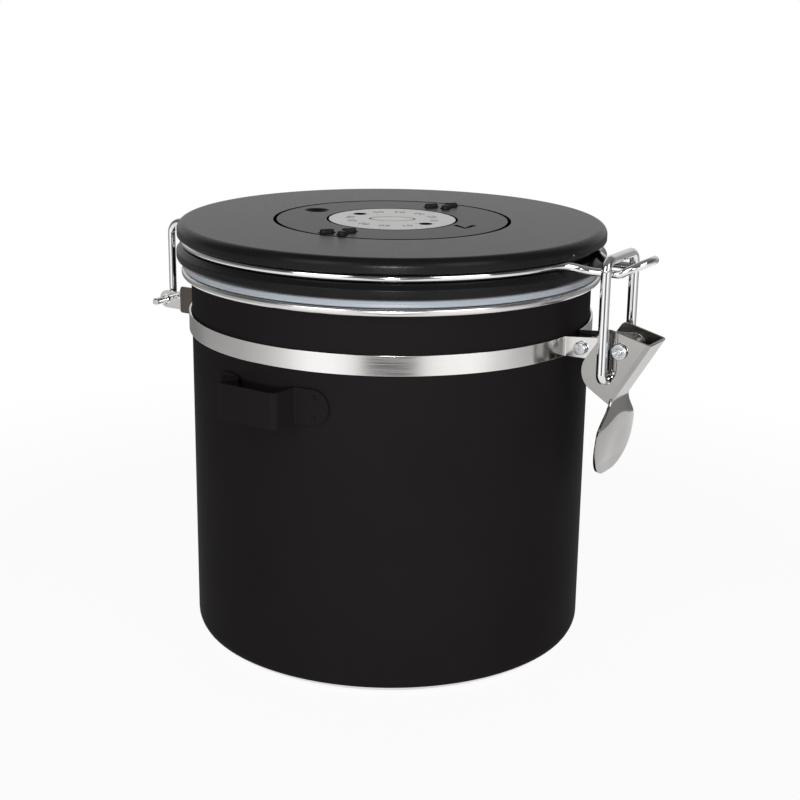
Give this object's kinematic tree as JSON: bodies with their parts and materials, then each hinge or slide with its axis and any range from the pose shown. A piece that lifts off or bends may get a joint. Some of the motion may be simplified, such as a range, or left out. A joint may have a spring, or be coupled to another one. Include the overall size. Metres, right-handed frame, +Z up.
{
  "type": "coffee canister",
  "caption": "Black steel coffee canister with a flat lid on a rear wire hinge, a silicone gasket, a lever latch with a wire hoop, a date dial on the lid, a one-way valve and a side scoop holder",
  "frame": {"origin": "centre of the flat underside, on the canister's axis", "axes": "+Z is up along the canister's axis, -Y points to the latch, +Y to the hinge, and the scoop holder is on the -X side"},
  "size_m": [0.1337, 0.161, 0.1277],
  "materials": {
    "body_paint": "matte black coating on stainless steel",
    "polished_steel": "polished stainless sheet",
    "chrome_wire": "bright plated wire",
    "zinc_steel": "zinc plated",
    "lid_plastic": "satin black moulding",
    "dial_plastic": "satin black moulding",
    "silver_plastic": "silver lacquered moulding",
    "silicone": "translucent bluish silicone",
    "black_rubber": "black moulded rubber"
  },
  "bodies": {
    "canister": {"body_shell": "body_paint", "neck_band": "polished_steel", "clamp_screw": "zinc_steel", "clamp_nut": "zinc_steel", "hinge_bracket": "polished_steel", "scoop_holder": "body_paint", "lever_rivet": "polished_steel"},
    "lid": {"lid_wire": "chrome_wire", "lid_base": "lid_plastic", "lid_cover": "lid_plastic", "lid_gasket": "silicone", "lid_screw_1": "zinc_steel", "lid_screw_2": "zinc_steel", "lid_screw_3": "zinc_steel", "lid_screw_4": "zinc_steel", "dial_drag_ring": "black_rubber", "valve_seat": "lid_plastic", "valve_membrane": "silicone", "valve_cap": "lid_plastic"},
    "date_ring": {"date_ring": "dial_plastic"},
    "month_disc": {"month_disc": "silver_plastic", "dial_clip": "zinc_steel"},
    "lever": {"latch_lever": "polished_steel"},
    "hoop": {"latch_hoop": "chrome_wire"}
  },
  "joints": [
    {"name": "lid_hinge", "type": "hinge", "parent": "canister", "child": "lid", "pos_m": [0, 0.0715, 0.0966], "axis": [-1, 0, 0], "range_deg": [0, 110]},
    {"name": "date_ring_turn", "type": "hinge", "parent": "lid", "child": "date_ring", "pos_m": [0, 0, 0.125], "axis": [0, 0, 1], "continuous": true},
    {"name": "month_disc_turn", "type": "hinge", "parent": "lid", "child": "month_disc", "pos_m": [0, 0, 0.1254], "axis": [0, 0, 1], "continuous": true},
    {"name": "lever_pivot", "type": "hinge", "parent": "canister", "child": "lever", "pos_m": [0, -0.078, 0.0982], "axis": [-1, 0, 0], "range_deg": [0, 140]},
    {"name": "hoop_pivot", "type": "hinge", "parent": "lever", "child": "hoop", "pos_m": [0, -0.0744, 0.0899], "axis": [-1, 0, 0], "range_deg": [-112, 0]}
  ],
  "couplings": [
    {"joint": "hoop_pivot", "follows": "lever_pivot", "ratio": -0.8}
  ]
}
